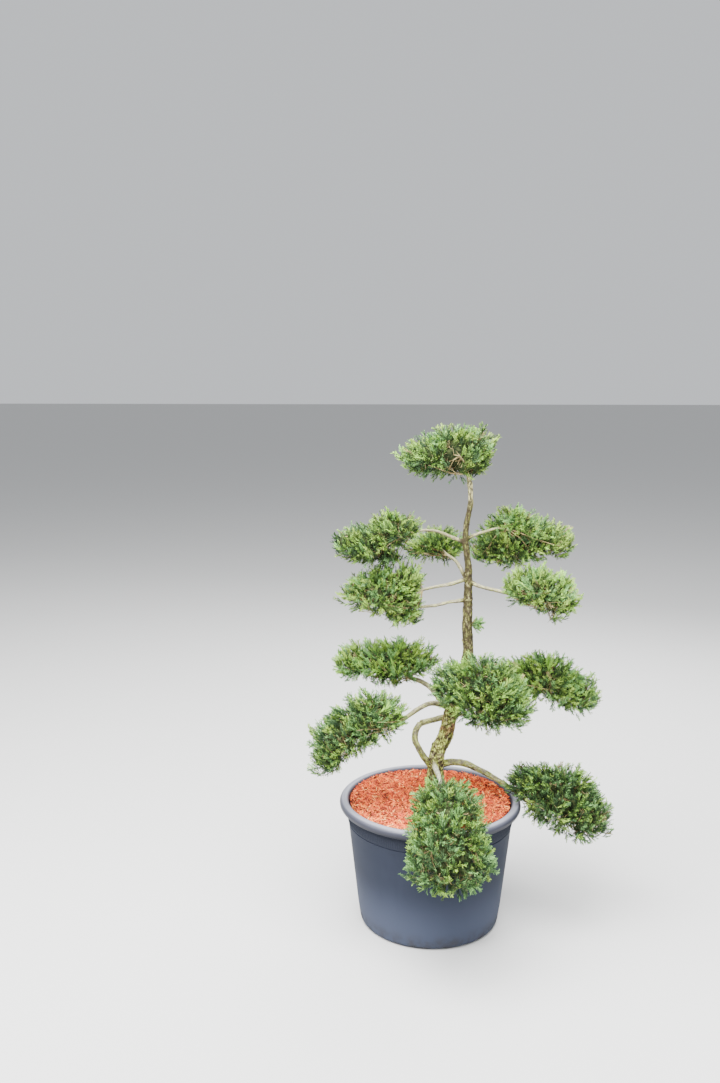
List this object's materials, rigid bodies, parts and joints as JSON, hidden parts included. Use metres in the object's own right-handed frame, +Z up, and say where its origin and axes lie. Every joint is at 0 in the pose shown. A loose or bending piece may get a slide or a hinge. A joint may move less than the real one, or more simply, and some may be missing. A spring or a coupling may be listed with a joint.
{
  "type": "potted juniper bonsai",
  "caption": "Cloud-pruned juniper garden bonsai: a leaning, flared trunk, bare boughs and clipped foliage pads, growing in a round pot with bark mulch.",
  "frame": {"origin": "middle of the pot's flat underside", "axes": "+Z up along the plant's height, +X to the right and -Y towards the viewer, as the plant is seen from its front"},
  "size_m": [0.9323, 0.7622, 1.5774],
  "materials": {
    "pot": "semi-matte slate blue-grey, scuffed and dirty near the foot",
    "compost": "damp, crumbly and dark",
    "mulch": "loose orange-red bark chips",
    "bark": "flaking grey-tan bark with yellow-green lichen",
    "foliage": "feathery sprays of scale leaves, blue-green to light yellow-green"
  },
  "bodies": {
    "root": {"pot": "pot", "compost": "compost", "bark_mulch": "mulch", "trunk": "bark", "bough_upper_left": "bark", "bough_upper_right": "bark", "bough_back": "bark", "bough_mid_left_upper": "bark", "bough_mid_left_lower": "bark", "bough_mid_right": "bark", "bough_low_left": "bark", "bough_far_left": "bark", "bough_loop_lower": "bark", "bough_loop_upper": "bark", "bough_centre": "bark", "bough_far_right": "bark", "bough_front": "bark", "foliage_top": "foliage", "foliage_upper_left": "foliage", "foliage_upper_right": "foliage", "foliage_back": "foliage", "foliage_mid_left": "foliage", "foliage_mid_right": "foliage", "foliage_low_left": "foliage", "foliage_far_left": "foliage", "foliage_centre": "foliage", "foliage_low_right": "foliage", "foliage_far_right": "foliage", "foliage_front": "foliage", "foliage_tuft": "foliage"}
  },
  "joints": []
}
